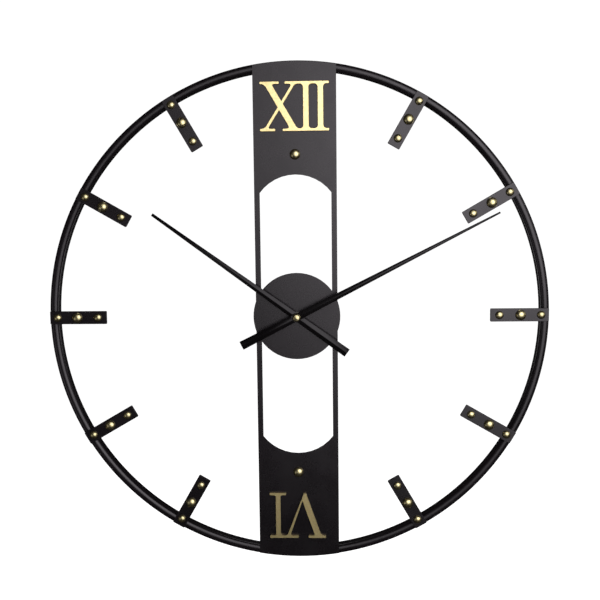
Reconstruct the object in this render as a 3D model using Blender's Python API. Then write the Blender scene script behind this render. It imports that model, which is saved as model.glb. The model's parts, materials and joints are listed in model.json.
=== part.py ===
"""Open-frame wall clock: a steel ring with a laser-cut face plate, riveted hour bars, two raised
roman numerals, long tapered hands and a battery quartz movement behind the middle of the plate.

Metres, +Z up.  The wall is the plane y = 0 and the clock looks along -Y, so a "depth" below is how
far a surface stands out from the wall.  The hands turn about the Y axis through the origin.
Angles on the dial are clock angles: degrees clockwise from twelve, seen from the front.
"""

import math

import bmesh
import bpy
from mathutils import Matrix, Vector
from mathutils.geometry import delaunay_2d_cdt

MM = 0.001
GAP = 0.3 * MM  # left between pieces that touch on the real clock

# Ring: a flat-sided steel tube with an elliptical front and back, bent to a circle
RING_RADIUS = 300 * MM
RING_WIDTH = 10.2 * MM
RING_DEPTH = 16 * MM
RING_CROWN = 3.4 * MM
RING_STEPS = 96

# Quartz movement: a square case with its battery across the bottom
CASE_HALF = 28 * MM
CASE_DEPTH = 16.5 * MM
CASE_WALL = 1.5 * MM
CASE_FRONT_WALL = 1.2 * MM
CASE_CORNER = 3 * MM
COVER_THICKNESS = 1.5 * MM
TRAIN_SPACE_BOTTOM = -10 * MM
BUSHING_RADIUS = 4.0 * MM
BUSHING_BORE = 2.75 * MM
BUSHING_FRONT = 26.8 * MM
BATTERY_RADIUS = 7.25 * MM
BATTERY_LENGTH = 50.5 * MM
BATTERY_HEIGHT = -19.2 * MM
BATTERY_DEPTH = 7.9 * MM
BATTERY_NUB = 1.0 * MM
BAY_HALF = 26.8 * MM
BAY_FLOOR = 15.5 * MM

# Sheet-metal front
GASKET_THICKNESS = 0.7 * MM
PLATE_BACK = CASE_DEPTH + GAP + GASKET_THICKNESS + GAP
PLATE_THICKNESS = 2.0 * MM
PLATE_FRONT = PLATE_BACK + PLATE_THICKNESS
PLATE_HALF_WIDTH = 48.8 * MM
PLATE_END = 298.3 * MM
RAIL_WIDTH = 6.5 * MM
DISC_RADIUS = 52.0 * MM
WINDOW_CROWN = 168 * MM
WINDOW_ARC = 53 * MM
CENTRE_HOLE = BUSHING_RADIUS + GAP
RING_FRONT = PLATE_BACK - GAP
RING_BACK = RING_FRONT - RING_DEPTH

# Hour bars and their dome-headed studs
BAR_HOURS = (1, 2, 3, 4, 5, 7, 8, 9, 10, 11)
BAR_WIDTH = 15.6 * MM
BAR_THICKNESS = 3.0 * MM
BAR_INNER = 229.7 * MM
BAR_OUTER = 298.5 * MM
BAR_CORNER = 1.0 * MM
BAR_FRONT = PLATE_BACK + BAR_THICKNESS
STUD_OUTER_AT = 289.2 * MM
STUD_MIDDLE_AT = 265.2 * MM
STUD_INNER_AT = 240.3 * MM
SMALL_STUD = (4.9 * MM, 3.2 * MM)  # dome radius and height
LARGE_STUD = (6.25 * MM, 4.0 * MM)
SHANK_RADIUS = 1.5 * MM
PLATE_STUD_AT = 191.4 * MM
STUD_STEPS = 12

# Raised numerals, in strokes measured from each numeral's lower left corner
XII_AT = 246.6 * MM
VI_AT = 245.5 * MM
NUMERAL_HEIGHT = 56.7 * MM
NUMERAL_THICKNESS = 2.5 * MM
NUMERAL_BACK = PLATE_FRONT + GAP
SERIF = 2.8 * MM
STEM = 6.3 * MM
THIN_STROKE = 3.5 * MM
ARCH = (4.9 * MM, 4.9 * MM)  # how far a curved bracket reaches along its serif and along its stroke
WIDE_ARCH = (4.6 * MM, 4.9 * MM)
SMALL_ARCH = (4.0 * MM, 3.8 * MM)
LOW_ARCH = (4.4 * MM, 2.6 * MM)
XII_WIDTH = 80.6 * MM
VI_WIDTH = 68.6 * MM
VI_CENTRE_X = -1.5 * MM

# Hands: tapered strips folded along the middle
HAND_WIDTH = 8.8 * MM  # at the axis
HAND_TAPER = 0.025  # width lost per length, towards the tip
HAND_RISE = 0.22  # ridge height per half width
HAND_SHEET = 0.8 * MM
HAND_TAIL = 73.8 * MM
HOUR_LENGTH = 209.4 * MM
MINUTE_LENGTH = 266.7 * MM
HOUR_HAND_BACK = 28.0 * MM
MINUTE_HAND_BACK = 31.0 * MM
HOUR_ANGLE = 306.0
MINUTE_ANGLE = 63.0
CAP_BACK = 33.2 * MM
CAP_RADIUS = 4.9 * MM
CAP_HEIGHT = 5.0 * MM

# Arbors
PIPE_RADIUS = 2.5 * MM
PIPE_BORE = 1.85 * MM
PIPE_FRONT = 30.0 * MM
ARBOR_RADIUS = 1.7 * MM
ARBOR_SHOULDER = 30.7 * MM
ARBOR_FRONT = 35.6 * MM
ARBOR_FLAT = 1.2 * MM  # half width across the flats that drive the minute hand
PIVOT_RADIUS = 0.8 * MM
PIN_RADIUS = 0.35 * MM
PIN_BORE = 0.5 * MM

# Motion work (hands and setting knob) and going train (motor to centre wheel)
HAND_MODULE = 0.4 * MM
HOUR_MODULE = 0.384 * MM
TRAIN_MODULE = 0.36 * MM
MINUTE_PINION, MOTION_WHEEL, MOTION_PINION, HOUR_WHEEL = 12, 36, 10, 40
KNOB_PINION = 12
CENTRE_WHEEL, THIRD_PINION, THIRD_WHEEL, FOURTH_PINION = 48, 6, 45, 6
FOURTH_WHEEL, FIFTH_PINION, FIFTH_WHEEL, ROTOR_PINION = 36, 6, 30, 6
ADDENDUM = 0.85
DEDENDUM = 1.15
MAGNET_RADIUS = 2.2 * MM
STATOR_HOLE = 2.7 * MM
KNOB_RADIUS = 5.5 * MM

# Wall hanger: a hat-shaped strap with a keyhole
HANGER_AT = 246 * MM
HANGER_HALF_HEIGHT = 20 * MM
HANGER_FOOT = 10 * MM
HANGER_WIDTH = 32 * MM
HANGER_SHEET = 1.5 * MM
KEYHOLE_RADIUS = 4.5 * MM
KEYHOLE_SLOT = 2.3 * MM
KEYHOLE_RISE = 10 * MM


def clear_scene():
    for obj in list(bpy.data.objects):
        bpy.data.objects.remove(obj, do_unlink=True)


def material(name, colour, roughness, metallic):
    made = bpy.data.materials.new(name)
    made.use_nodes = True
    shader = made.node_tree.nodes["Principled BSDF"]
    shader.inputs["Base Color"].default_value = (*colour, 1)
    shader.inputs["Roughness"].default_value = roughness
    shader.inputs["Metallic"].default_value = metallic
    made.diffuse_color = (*colour, 1)
    return made


def finish(name, mesh, finish_of):
    """A named object around this mesh, with its own copy of the finish."""
    obj = bpy.data.objects.new(name, mesh)
    bpy.context.scene.collection.objects.link(obj)
    if not mesh.materials:
        mesh.materials.append(material(name, *finish_of))
    mesh.set_sharp_from_angle(angle=math.radians(35))
    return obj


def mesh_of(bm, name="shape"):
    bmesh.ops.recalc_face_normals(bm, faces=bm.faces)
    mesh = bpy.data.meshes.new(name)
    bm.to_mesh(mesh)
    bm.free()
    mesh.shade_smooth()
    return mesh


# Outlines are lists of (x, z) points seen from the front


def arc(centre, radius, start, end, steps):
    """Points on a circle from start to end degrees, counted anticlockwise from +X."""
    turns = [math.radians(start + (end - start) * i / steps) for i in range(steps + 1)]
    return [(centre[0] + radius * math.cos(a), centre[1] + radius * math.sin(a)) for a in turns]


def circle(centre, radius, steps):
    return arc(centre, radius, 0, 360, steps)[:-1]


def rounded_box(left, bottom, right, top, corner, steps=3):
    points = []
    for x, z, start in (
        (right - corner, bottom + corner, -90),
        (right - corner, top - corner, 0),
        (left + corner, top - corner, 90),
        (left + corner, bottom + corner, 180),
    ):
        points += arc((x, z), corner, start, start + 90, steps)
    return points


def placed(centre, distance, degrees):
    turn = math.radians(degrees)
    return (centre[0] + distance * math.cos(turn), centre[1] + distance * math.sin(turn))


def raised(bm, low, high):
    """Extrudes every face of a flat mesh at depth low out to depth high."""
    grown = bmesh.ops.extrude_face_region(bm, geom=list(bm.faces))
    shifted = [item for item in grown["geom"] if isinstance(item, bmesh.types.BMVert)]
    bmesh.ops.translate(bm, verts=shifted, vec=(0, low - high, 0))
    return mesh_of(bm)


def prism(outline, low, high):
    """A solid with this outline between two depths."""
    bm = bmesh.new()
    bm.faces.new([bm.verts.new((x, -low, z)) for x, z in outline])
    return raised(bm, low, high)


def inside(outline, x, z):
    crossed = False
    for (ax, az), (bx, bz) in zip(outline, outline[1:] + outline[:1]):
        if (az > z) != (bz > z) and x < ax + (z - az) * (bx - ax) / (bz - az):
            crossed = not crossed
    return crossed


def united_prism(outlines, low, high):
    """One solid with the merged area of overlapping outlines between two depths."""
    points, edges = [], []
    for outline in outlines:
        first, count = len(points), len(outline)
        edges += [(first + i, first + (i + 1) % count) for i in range(count)]
        points += [Vector(point) for point in outline]
    spots, _, triangles, *_ = delaunay_2d_cdt(points, edges, [], 0, 0.0001 * MM)
    bm = bmesh.new()
    verts = [bm.verts.new((spot.x, -low, spot.y)) for spot in spots]
    for triangle in triangles:
        x = sum(spots[i].x for i in triangle) / 3
        z = sum(spots[i].y for i in triangle) / 3
        if any(inside(outline, x, z) for outline in outlines):
            bm.faces.new([verts[i] for i in triangle])
    loose = [vert for vert in bm.verts if not vert.link_faces]
    bmesh.ops.delete(bm, geom=loose, context="VERTS")
    bmesh.ops.dissolve_limit(bm, angle_limit=0.001, verts=list(bm.verts), edges=list(bm.edges))
    return raised(bm, low, high)


def turned(profile, steps, centre=(0, 0)):
    """A solid turned about the Y direction through centre, from (radius, depth) points.

    A profile that starts and ends at radius 0 is closed by its axis, any other by itself.
    """
    bm = bmesh.new()
    rings = []
    for radius, depth in profile:
        count = steps if radius > 0 else 1
        rings.append(
            [
                bm.verts.new((centre[0] + radius * math.cos(a), -depth, centre[1] + radius * math.sin(a)))
                for a in [2 * math.pi * i / steps for i in range(count)]
            ]
        )
    pairs = list(zip(rings, rings[1:]))
    if profile[0][0] > 0:
        pairs.append((rings[-1], rings[0]))
    for one, two in pairs:
        for i in range(steps):
            j = (i + 1) % steps
            corners = [one[i % len(one)], one[j % len(one)], two[j % len(two)], two[i % len(two)]]
            bm.faces.new(list(dict.fromkeys(corners)))
    return mesh_of(bm)


def combined(mesh, others, operation):
    """This mesh after a Boolean with each of the others in turn."""
    base = bpy.data.objects.new("base", mesh)
    bpy.context.scene.collection.objects.link(base)
    tools = []
    for other in others:
        tool = bpy.data.objects.new("tool", other)
        bpy.context.scene.collection.objects.link(tool)
        step = base.modifiers.new("step", "BOOLEAN")
        step.operation = operation
        step.solver = "EXACT"
        step.object = tool
        tools.append(tool)
    bpy.context.view_layer.update()
    seen = base.evaluated_get(bpy.context.evaluated_depsgraph_get())
    result = bpy.data.meshes.new_from_object(seen)
    for obj in [base, *tools]:
        bpy.data.objects.remove(obj, do_unlink=True)
    result.materials.clear()
    return result


def joined(mesh, *others):
    return combined(mesh, others, "UNION")


def cut(mesh, *others):
    return combined(mesh, others, "DIFFERENCE")


# Front frame


def ring():
    half, middle = RING_WIDTH / 2, RING_RADIUS - RING_WIDTH / 2
    shoulder, stretch = RING_FRONT - RING_CROWN, RING_CROWN / half
    front = [(x, shoulder + z * stretch) for x, z in arc((middle, 0), half, 0, 180, 6)]
    back = [(x, RING_BACK + RING_FRONT - depth) for x, depth in reversed(front)]
    return turned(front + back, RING_STEPS)


def window(side):
    """The opening between the rails above (side 1) or below (side -1) the middle disc."""
    half = PLATE_HALF_WIDTH - RAIL_WIDTH
    centre = WINDOW_CROWN - WINDOW_ARC
    spread = math.degrees(math.asin(half / WINDOW_ARC))
    rise = math.degrees(math.acos(half / DISC_RADIUS))
    outline = arc((0, centre), WINDOW_ARC, 90 - spread, 90 + spread, 12)
    outline += arc((0, 0), DISC_RADIUS, 180 - rise, rise, 16)
    return prism([(x, side * z) for x, z in outline], PLATE_BACK - 3 * GAP, PLATE_FRONT + 3 * GAP)


def face_plate():
    corner = math.degrees(math.asin(PLATE_HALF_WIDTH / PLATE_END))
    bulge = math.degrees(math.acos(PLATE_HALF_WIDTH / DISC_RADIUS))
    outline = arc((0, 0), PLATE_END, 270 - corner, 270 + corner, 10)
    outline += arc((0, 0), DISC_RADIUS, -bulge, bulge, 8)
    outline += arc((0, 0), PLATE_END, 90 - corner, 90 + corner, 10)
    outline += arc((0, 0), DISC_RADIUS, 180 - bulge, 180 + bulge, 8)
    through = (PLATE_BACK - 3 * GAP, PLATE_FRONT + 3 * GAP)
    holes = [prism(circle((0, 0), CENTRE_HOLE, 24), *through)]
    for side in (1, -1):
        holes.append(window(side))
        holes.append(prism(circle((0, side * PLATE_STUD_AT), SHANK_RADIUS + GAP, 10), *through))
    return cut(prism(outline, PLATE_BACK, PLATE_FRONT), *holes)


def dome(radius, height):
    """The half profile of a stud's head, from its top down to its rim, above depth 0."""
    points = [(0, height)]
    for degrees in (62, 34, 0):
        turn = math.radians(degrees)
        points.append((radius * math.cos(turn), height * math.sin(turn)))
    return points


def stud(size, seat, shank):
    """A stud whose head sits on depth seat, with a shank of this length behind it."""
    profile = [(r, seat + h) for r, h in dome(*size)]
    profile += [(SHANK_RADIUS, seat), (SHANK_RADIUS, seat - shank), (0, seat - shank)]
    return turned(profile, STUD_STEPS)


def hour_bar():
    """One bar standing at twelve, with its inner stud formed on it."""
    outline = rounded_box(-BAR_WIDTH / 2, BAR_INNER, BAR_WIDTH / 2, BAR_OUTER, BAR_CORNER, 2)
    through = (PLATE_BACK - 3 * GAP, BAR_FRONT + 3 * GAP)
    holes = [
        prism(circle((0, at), SHANK_RADIUS + GAP, 10), *through)
        for at in (STUD_OUTER_AT, STUD_MIDDLE_AT)
    ]
    root = 0.5 * MM
    profile = [(r, BAR_FRONT + h) for r, h in dome(*SMALL_STUD)]
    profile += [(SMALL_STUD[0], BAR_FRONT - root), (0, BAR_FRONT - root)]
    head = turned(profile, STUD_STEPS, (0, STUD_INNER_AT))
    return joined(cut(prism(outline, PLATE_BACK, BAR_FRONT), *holes), head)


def moved(mesh, x, z):
    mesh.transform(Matrix.Translation((x, 0, z)))
    return mesh


# Numerals: strokes and serifs joined into one solid, with curved brackets where they meet


def serif(left, right, top):
    """A flat bar along the numeral's top or bottom edge, with eased ends."""
    low = NUMERAL_HEIGHT - SERIF if top else 0
    return rounded_box(left, low, right, low + SERIF, 0.9 * MM, 2)


def stroke(foot, head, width):
    """A straight stroke whose foot and head are centred at these x on the bottom and top edges."""
    low, high = SERIF * 0.4, NUMERAL_HEIGHT - SERIF * 0.4
    slope = (head - foot) / NUMERAL_HEIGHT
    bottom, top = foot + slope * low, foot + slope * high
    half = width / 2
    return [(bottom - half, low), (bottom + half, low), (top + half, high), (top - half, high)]


def bracket(foot, head, width, side, top, size):
    """The curved filling between a stroke's edge and its serif, sunk a little into both."""
    slope = (head - foot) / NUMERAL_HEIGHT
    z = NUMERAL_HEIGHT - SERIF if top else SERIF
    along_serif = Vector((side, 0))
    along_edge = Vector((slope, 1)).normalized() * (-1 if top else 1)
    inward = -along_serif - along_edge
    corner = Vector((foot + slope * z + side * width / 2, z)) + inward * 0.08 * MM
    points = [corner + inward * 0.5 * MM]
    for i in range(9):
        s = i / 8
        points.append(corner + along_serif * size[0] * (1 - s) ** 2 + along_edge * size[1] * s**2)
    return [(p.x, p.y) for p in points]


def numeral(outlines, width, centre_x, reach, turn):
    """Joins outlines into a numeral that stands at the top of the dial, or hangs turned at the bottom."""
    mesh = united_prism(outlines, NUMERAL_BACK, NUMERAL_BACK + NUMERAL_THICKNESS)
    mesh.transform(Matrix.Translation((-width / 2, 0, reach - NUMERAL_HEIGHT / 2)))
    mesh.transform(Matrix.Rotation(turn, 4, "Y"))
    mesh.transform(Matrix.Translation((centre_x, 0, 0)))
    return mesh


def numeral_xii():
    thick = (40.9 * MM, 7.9 * MM, STEM * 1.32)
    thin = (5.3 * MM, 41.2 * MM, THIN_STROKE)
    stems = [(x, x, STEM) for x in (53.7 * MM, 70.7 * MM)]
    outlines = [
        stroke(*thick),
        stroke(*thin),
        serif(0, 22.4 * MM, True),
        serif(29.3 * MM, XII_WIDTH, True),
        serif(0, 17.7 * MM, False),
        serif(26.4 * MM, XII_WIDTH, False),
    ]
    outlines += [stroke(*stem) for stem in stems]
    for top in (True, False):
        outlines += [bracket(*stem, side, top, ARCH) for stem in stems for side in (-1, 1)]
        outlines += [bracket(*diagonal, -1, top, WIDE_ARCH) for diagonal in (thick, thin)]
        outlines += [bracket(*diagonal, 1, top, SMALL_ARCH) for diagonal in (thick, thin)]
    return numeral(outlines, XII_WIDTH, 0, XII_AT, 0)


def vee():
    """The V's two strokes as one outline, from its blunt foot up to the middle of its serifs."""
    top, foot, crotch = NUMERAL_HEIGHT - SERIF * 0.4, 0.6 * MM, 9.8 * MM
    return [
        (24.0 * MM, foot),
        (26.6 * MM, foot),
        (48.0 * MM, top),
        (48.0 * MM - THIN_STROKE, top),
        (28.4 * MM, crotch),
        (12.6 * MM, top),
        (5.1 * MM, top),
    ]


def numeral_vi():
    stem = (58.2 * MM, 58.2 * MM, STEM * 0.89)
    thick = (19.0 * MM, 9.0 * MM, 7.5 * MM)
    thin = (25.6 * MM, 46.6 * MM, THIN_STROKE)
    outlines = [
        vee(),
        serif(0, 21.5 * MM, True),
        serif(33.5 * MM, VI_WIDTH, True),
        stroke(*stem),
        serif(48.5 * MM, VI_WIDTH, False),
    ]
    for side in (-1, 1):
        outlines += [bracket(*stem, side, top, LOW_ARCH) for top in (True, False)]
        outlines += [bracket(*diagonal, side, True, LOW_ARCH) for diagonal in (thick, thin)]
    return numeral(outlines, VI_WIDTH, VI_CENTRE_X, VI_AT, math.pi)


# Hands


def hand(length, back):
    """A hand pointing at twelve: a folded strip whose ridge stands out and narrows with its width."""
    sections = []
    for z in (-HAND_TAIL, length):
        half = (HAND_WIDTH - HAND_TAPER * z) / 2
        ridge = HAND_RISE * half
        low, high = back, back + HAND_SHEET
        sections.append(
            [(-half, low), (0, low + ridge), (half, low), (half, high), (0, high + ridge), (-half, high)]
        )
    bm = bmesh.new()
    ends = [
        [bm.verts.new((x, -depth, z)) for x, depth in section]
        for section, z in zip(sections, (-HAND_TAIL, length))
    ]
    count = len(sections[0])
    for i in range(count):
        j = (i + 1) % count
        bm.faces.new([ends[0][i], ends[0][j], ends[1][j], ends[1][i]])
    for end in ends:
        bm.faces.new([end[0], end[1], end[4], end[5]])
        bm.faces.new([end[1], end[2], end[3], end[4]])
    return mesh_of(bm)


def flatted(radius, flat, steps):
    """A circle with two flats at x = flat and x = -flat."""
    return [(max(-flat, min(flat, x)), z) for x, z in circle((0, 0), radius, steps)]


def hour_hand():
    hole = circle((0, 0), PIPE_RADIUS + GAP / 2, 20)
    return cut(hand(HOUR_LENGTH, HOUR_HAND_BACK), prism(hole, PIPE_FRONT - 5 * MM, PIPE_FRONT + 5 * MM))


def minute_hand():
    hole = flatted(ARBOR_RADIUS + GAP / 2, ARBOR_FLAT + GAP / 2, 20)
    return cut(hand(MINUTE_LENGTH, MINUTE_HAND_BACK), prism(hole, 29 * MM, ARBOR_FRONT))


def cap_nut():
    """A closed nut with a low crown and a round shoulder, screwed on the arbor's end."""
    shoulder, crown = 2.0 * MM, 0.4 * MM
    profile = [(0, CAP_BACK + CAP_HEIGHT)]
    for degrees in (90, 60, 30, 0):
        turn = math.radians(degrees)
        side = CAP_RADIUS - shoulder + shoulder * math.cos(turn)
        profile.append((side, CAP_BACK + CAP_HEIGHT - crown - shoulder * (1 - math.sin(turn))))
    profile += [(CAP_RADIUS, CAP_BACK), (ARBOR_RADIUS + GAP / 2, CAP_BACK)]
    profile += [(ARBOR_RADIUS + GAP / 2, ARBOR_FRONT + GAP), (0, ARBOR_FRONT + GAP)]
    return turned(profile, 20)


# Gears


def gear(teeth, module, centre, phase):
    """A spur gear's outline: straight-sided teeth thinned for backlash, one centred at phase degrees."""
    pitch = teeth * module / 2
    root, tip = pitch - DEDENDUM * module, pitch + ADDENDUM * module
    step = 360 / teeth
    outline = []
    for tooth in range(teeth):
        at = phase + tooth * step
        for radius, half in ((root, 0.26), (tip, 0.10), (tip, -0.10), (root, -0.26)):
            outline.append(placed(centre, radius, at - half * step))
    return outline


def meshing_phase(centre, teeth, phase, other, other_teeth):
    """The phase of the other gear that puts its teeth in this gear's gaps on the line of centres."""
    line = math.degrees(math.atan2(other[1] - centre[1], other[0] - centre[0]))
    share = ((line - phase) * teeth / 360) % 1
    return line + 180 - (0.5 - share) * 360 / other_teeth


def bored(mesh, centre, radius, low, high, steps=10):
    return cut(mesh, prism(circle(centre, radius, steps), low, high))


def train_layout():
    """Centres (x, z) of every arbor in the movement, and the phase of every gear."""
    axis = (0, 0)
    spread = (MINUTE_PINION + MOTION_WHEEL) * HAND_MODULE / 2
    motion = placed(axis, spread, 0)
    knob = placed(motion, (MOTION_WHEEL + KNOB_PINION) * HAND_MODULE / 2, 30)
    third = placed(axis, (CENTRE_WHEEL + THIRD_PINION) * TRAIN_MODULE / 2, 150)
    fourth = placed(third, (THIRD_WHEEL + FOURTH_PINION) * TRAIN_MODULE / 2, 75)
    fifth = placed(fourth, (FOURTH_WHEEL + FIFTH_PINION) * TRAIN_MODULE / 2, 0)
    rotor = placed(fifth, (FIFTH_WHEEL + ROTOR_PINION) * TRAIN_MODULE / 2, 15)
    places = {"motion": motion, "knob": knob, "third": third}
    return {**places, "fourth": fourth, "fifth": fifth, "rotor": rotor}


PLACES = train_layout()
AXIS = (0, 0)


def mesh_to(centre, teeth, phase, other, other_teeth):
    return meshing_phase(centre, teeth, phase, PLACES[other], other_teeth)


MOTION_PHASE = mesh_to(AXIS, MINUTE_PINION, 0, "motion", MOTION_WHEEL)
KNOB_PHASE = mesh_to(PLACES["motion"], MOTION_WHEEL, MOTION_PHASE, "knob", KNOB_PINION)
HOUR_PHASE = meshing_phase(PLACES["motion"], MOTION_PINION, MOTION_PHASE, AXIS, HOUR_WHEEL)
THIRD_PHASE = mesh_to(AXIS, CENTRE_WHEEL, 0, "third", THIRD_PINION)
FOURTH_PHASE = mesh_to(PLACES["third"], THIRD_WHEEL, THIRD_PHASE, "fourth", FOURTH_PINION)
FIFTH_PHASE = mesh_to(PLACES["fourth"], FOURTH_WHEEL, FOURTH_PHASE, "fifth", FIFTH_PINION)
ROTOR_PHASE = mesh_to(PLACES["fifth"], FIFTH_WHEEL, FIFTH_PHASE, "rotor", ROTOR_PINION)


def hour_wheel():
    wheel = prism(gear(HOUR_WHEEL, HOUR_MODULE, AXIS, HOUR_PHASE), 13.9 * MM, 14.9 * MM)
    pipe = prism(circle(AXIS, PIPE_RADIUS, 20), 14.2 * MM, PIPE_FRONT)
    return bored(joined(wheel, pipe), AXIS, PIPE_BORE, 13 * MM, 31 * MM, 20)


def minute_arbor():
    pinion = prism(gear(MINUTE_PINION, HAND_MODULE, AXIS, 0), 12.0 * MM, 13.4 * MM)
    shaft = turned(
        [
            (0, ARBOR_SHOULDER),
            (ARBOR_RADIUS, ARBOR_SHOULDER),
            (ARBOR_RADIUS, 12.6 * MM),
            (1.2 * MM, 12.6 * MM),
            (1.2 * MM, 9.6 * MM),
            (PIVOT_RADIUS, 9.6 * MM),
            (PIVOT_RADIUS, 2.4 * MM),
            (0, 2.4 * MM),
        ],
        20,
    )
    end = prism(flatted(ARBOR_RADIUS, ARBOR_FLAT, 20), 29 * MM, ARBOR_FRONT)
    end.transform(Matrix.Rotation(math.radians(MINUTE_ANGLE), 4, "Y"))
    return joined(shaft, end, pinion)


def stacked_gear(teeth, modules, place, phase, disc, leaf):
    """A wheel and its pinion on one hub, running on a pin: disc and leaf are their depths in mm."""
    centre = PLACES[place]
    wheel, pinion = [gear(count, module, centre, phase) for count, module in zip(teeth, modules)]
    mesh = joined(
        prism(wheel, disc[0] * MM, disc[1] * MM),
        prism(pinion, leaf[0] * MM, leaf[1] * MM),
    )
    return bored(mesh, centre, PIN_BORE, (disc[0] - 1) * MM, (leaf[1] + 1) * MM)


def train_gear(teeth, place, phase, back):
    """One arbor of the going train, its wheel's back this many mm in front of the wall."""
    modules = (TRAIN_MODULE, TRAIN_MODULE)
    return stacked_gear(teeth, modules, place, phase, (back, back + 0.8), (back + 0.4, back + 2.6))


def motion_wheel():
    teeth, modules = (MOTION_WHEEL, MOTION_PINION), (HAND_MODULE, HOUR_MODULE)
    return stacked_gear(teeth, modules, "motion", MOTION_PHASE, (12.2, 13.2), (12.7, 15.0))


def centre_wheel():
    wheel = prism(gear(CENTRE_WHEEL, TRAIN_MODULE, AXIS, 0), 10.4 * MM, 11.2 * MM)
    hub = prism(circle(AXIS, 2.8 * MM, 16), 10.0 * MM, 11.6 * MM)
    return bored(joined(wheel, hub), AXIS, 1.35 * MM, 9 * MM, 12 * MM, 16)


def third_wheel():
    return train_gear((THIRD_WHEEL, THIRD_PINION), "third", THIRD_PHASE, 8.9)


def fourth_wheel():
    return train_gear((FOURTH_WHEEL, FOURTH_PINION), "fourth", FOURTH_PHASE, 7.4)


def fifth_wheel():
    return train_gear((FIFTH_WHEEL, FIFTH_PINION), "fifth", FIFTH_PHASE, 5.9)


def rotor():
    centre = PLACES["rotor"]
    magnet = prism(circle(centre, MAGNET_RADIUS, 16), 2.9 * MM, 5.2 * MM)
    pinion = prism(gear(ROTOR_PINION, TRAIN_MODULE, centre, ROTOR_PHASE), 4.8 * MM, 7.0 * MM)
    return bored(joined(magnet, pinion), centre, PIN_BORE, 2 * MM, 8 * MM)


def setting_knob():
    """A knurled disc sunk in the rear cover, its stem and the pinion that turns the motion wheel."""
    centre = PLACES["knob"]
    pinion = prism(gear(KNOB_PINION, HAND_MODULE, centre, KNOB_PHASE), 12.0 * MM, 13.4 * MM)
    stem = prism(circle(centre, 1.5 * MM, 12), 2.2 * MM, 12.6 * MM)
    grips = 18
    knurl = []
    for i in range(grips):
        at = 360 * i / grips
        for radius, turn in ((KNOB_RADIUS, -5), (KNOB_RADIUS, 5), (KNOB_RADIUS - 0.5 * MM, 10)):
            knurl.append(placed(centre, radius, at + turn))
    disc = prism(knurl, 0.5 * MM, 2.6 * MM)
    return bored(joined(disc, stem, pinion), centre, PIN_BORE, 10 * MM, 14 * MM)


# Movement case and what stays still inside it


def movement_case():
    box = prism(rounded_box(-CASE_HALF, -CASE_HALF, CASE_HALF, CASE_HALF, CASE_CORNER), 0, CASE_DEPTH)
    inner = CASE_HALF - CASE_WALL
    floor = CASE_DEPTH - CASE_FRONT_WALL
    space = prism(rounded_box(-inner, TRAIN_SPACE_BOTTOM, inner, inner, 1.5 * MM, 2), -2 * MM, floor)
    low, high = BATTERY_HEIGHT - BATTERY_RADIUS - 2 * GAP, BATTERY_HEIGHT + BATTERY_RADIUS + 2 * GAP
    bay = prism(rounded_box(-BAY_HALF, low, BAY_HALF, high, 0.6 * MM, 1), -2 * MM, BAY_FLOOR)
    bushing = prism(circle(AXIS, BUSHING_RADIUS, 24), floor + 0.4 * MM, BUSHING_FRONT)
    pin_ends = {"motion": 11.8, "third": 8.6, "fourth": 7.1, "fifth": 5.6, "rotor": 2.6, "knob": 10.6}
    pins = [
        prism(circle(PLACES[name], PIN_RADIUS, 8), end * MM, floor + 0.5 * MM)
        for name, end in pin_ends.items()
    ]
    shell = cut(box, space, bay)
    return bored(joined(shell, bushing, *pins), AXIS, BUSHING_BORE, 14 * MM, 28 * MM, 24)


def rear_cover():
    """Closes the gear space, with a sunk well for the setting knob and a socket for the arbor."""
    inner = CASE_HALF - CASE_WALL - GAP
    outline = rounded_box(-inner, TRAIN_SPACE_BOTTOM + GAP, inner, inner, 1.5 * MM, 2)
    plate = prism(outline, 0, COVER_THICKNESS)
    well = prism(circle(PLACES["knob"], KNOB_RADIUS + 1.4 * MM, 24), 0.5 * MM, 3.7 * MM)
    socket = prism(circle(AXIS, 2.2 * MM, 16), 1.0 * MM, 4.2 * MM)
    return cut(
        joined(plate, well, socket),
        prism(circle(PLACES["knob"], KNOB_RADIUS + 0.6 * MM, 24), -2 * MM, 2.9 * MM),
        prism(circle(PLACES["knob"], 1.8 * MM, 12), 2 * MM, 5 * MM),
        prism(circle(AXIS, PIVOT_RADIUS + 0.15 * MM, 12), 2.1 * MM, 5 * MM),
    )


def along_x(profile, steps, height, depth):
    """Turns (radius, x) points about the X direction at this height and depth."""
    mesh = turned(profile, steps)
    mesh.transform(Matrix.Rotation(math.radians(90), 4, "Z"))
    mesh.transform(Matrix.Translation((0, -depth, height)))
    return mesh


def battery():
    half = BATTERY_LENGTH / 2
    edge = 0.6 * MM
    shoulder = half - BATTERY_NUB
    profile = [
        (0, half),
        (2.6 * MM, half),
        (2.6 * MM, shoulder),
        (BATTERY_RADIUS - edge, shoulder),
        (BATTERY_RADIUS, shoulder - edge),
        (BATTERY_RADIUS, edge - half),
        (BATTERY_RADIUS - edge, -half),
        (0, -half),
    ]
    return along_x(profile, 20, BATTERY_HEIGHT, BATTERY_DEPTH)


def contact(side):
    """A sprung leaf at one end of the battery, bowed towards it: side 1 is the plus end."""
    wall = BAY_HALF - GAP
    sheet = 0.3 * MM
    bow = wall - sheet - GAP - BATTERY_LENGTH / 2
    low, high = BATTERY_HEIGHT - 4 * MM, BATTERY_HEIGHT + BATTERY_RADIUS
    middle = BATTERY_HEIGHT
    back = [(wall, low), (wall - bow, middle), (wall, high - 1.5 * MM), (wall, high)]
    face = [(x - sheet, z) for x, z in reversed(back)]
    outline = [(side * x, z) for x, z in back + face]
    return prism(outline, BATTERY_DEPTH - 3 * MM, BATTERY_DEPTH + 3 * MM)


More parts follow.
